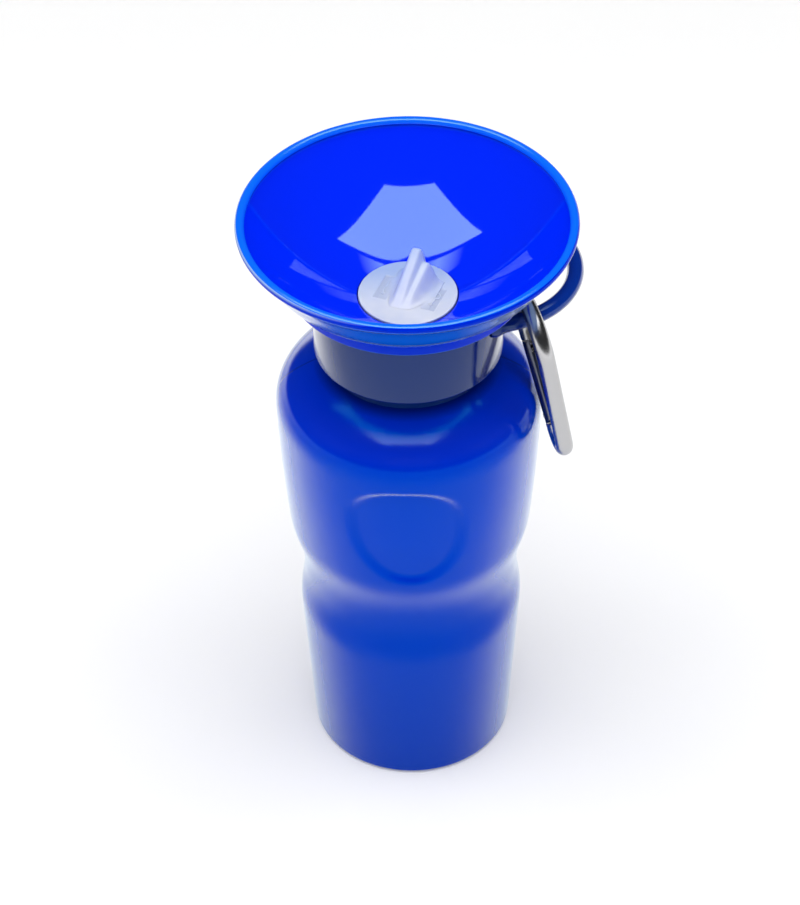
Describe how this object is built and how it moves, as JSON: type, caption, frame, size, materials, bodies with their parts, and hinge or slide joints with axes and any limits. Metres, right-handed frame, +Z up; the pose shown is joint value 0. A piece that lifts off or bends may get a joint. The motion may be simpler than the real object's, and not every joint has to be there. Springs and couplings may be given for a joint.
{
  "type": "dog travel water bottle",
  "caption": "Squeeze bottle with a screw-on drinking bowl, a turning valve with a fin grip in its floor, and a carry loop on the collar with a snap hook hung in it.",
  "frame": {"origin": "centre of the foot, on the bottle's axis, in the plane it stands on", "axes": "+Z up along the bottle, the thumb dimple faces -Y, the carry loop is on the +X side"},
  "size_m": [0.115, 0.112, 0.2268],
  "materials": {
    "bottle_plastic": "satin",
    "bowl_plastic": "gloss",
    "collar_plastic": "gloss",
    "dial_plastic": "translucent",
    "inner_plastic": "matte",
    "seal_rubber": "matte",
    "carabiner_metal": "satin",
    "pin_steel": "brushed"
  },
  "bodies": {
    "bottle": {"bottle": "bottle_plastic"},
    "gasket": {"bottle_gasket": "seal_rubber"},
    "cap": {"collar": "collar_plastic", "bowl": "bowl_plastic", "valve_chamber": "inner_plastic", "chamber_seal": "seal_rubber", "dip_tube": "inner_plastic"},
    "washer": {"dial_seal": "seal_rubber"},
    "dial": {"dial": "dial_plastic", "stem_clip": "pin_steel"},
    "carabiner": {"carabiner_body": "carabiner_metal", "gate_pivot_pin": "pin_steel"},
    "gate": {"carabiner_gate": "carabiner_metal", "latch_pin": "pin_steel", "gate_spring": "pin_steel"},
    "plunger": {"gate_plunger": "pin_steel"}
  },
  "joints": [
    {"name": "cap_lift", "type": "slide", "parent": "bottle", "child": "gasket", "axis": [0, 0, 1], "range_m": [0, 0.00755]},
    {"name": "cap_turn", "type": "hinge", "parent": "gasket", "child": "cap", "pos_m": [0, 0, 0.19264], "axis": [0, 0, 1], "range_deg": [0, 540]},
    {"name": "dial_lift", "type": "slide", "parent": "cap", "child": "washer", "axis": [0, 0, 1], "range_m": [0, 0.00205]},
    {"name": "dial_turn", "type": "hinge", "parent": "washer", "child": "dial", "pos_m": [0, 0, 0.19349], "axis": [0, 0, 1], "range_deg": [0, 90]},
    {"name": "carabiner_swing", "type": "hinge", "parent": "cap", "child": "carabiner", "pos_m": [0.0399, -0.0101, 0.19224], "axis": [0.9513, 0.2549, 0.1736], "range_deg": [-15, 0]},
    {"name": "gate_swing", "type": "hinge", "parent": "carabiner", "child": "gate", "pos_m": [0.04782, -0.01247, 0.15234], "axis": [0.9513, 0.2549, 0.1736], "range_deg": [0, 25], "stiffness_Nm_per_rad": 0.05, "springref_deg": -11.46},
    {"name": "plunger_slide", "type": "slide", "parent": "gate", "child": "plunger", "axis": [-0.2695, 0.4132, 0.8698], "range_m": [0, 0.00092], "deforming": ["gate_spring"]}
  ],
  "couplings": [
    {"joint": "cap_lift", "follows": "cap_turn", "m_per_rad": 0.00079577},
    {"joint": "dial_lift", "follows": "dial_turn", "m_per_rad": 0.0012732},
    {"joint": "plunger_slide", "follows": "gate_swing", "m_per_rad": 0.002}
  ]
}
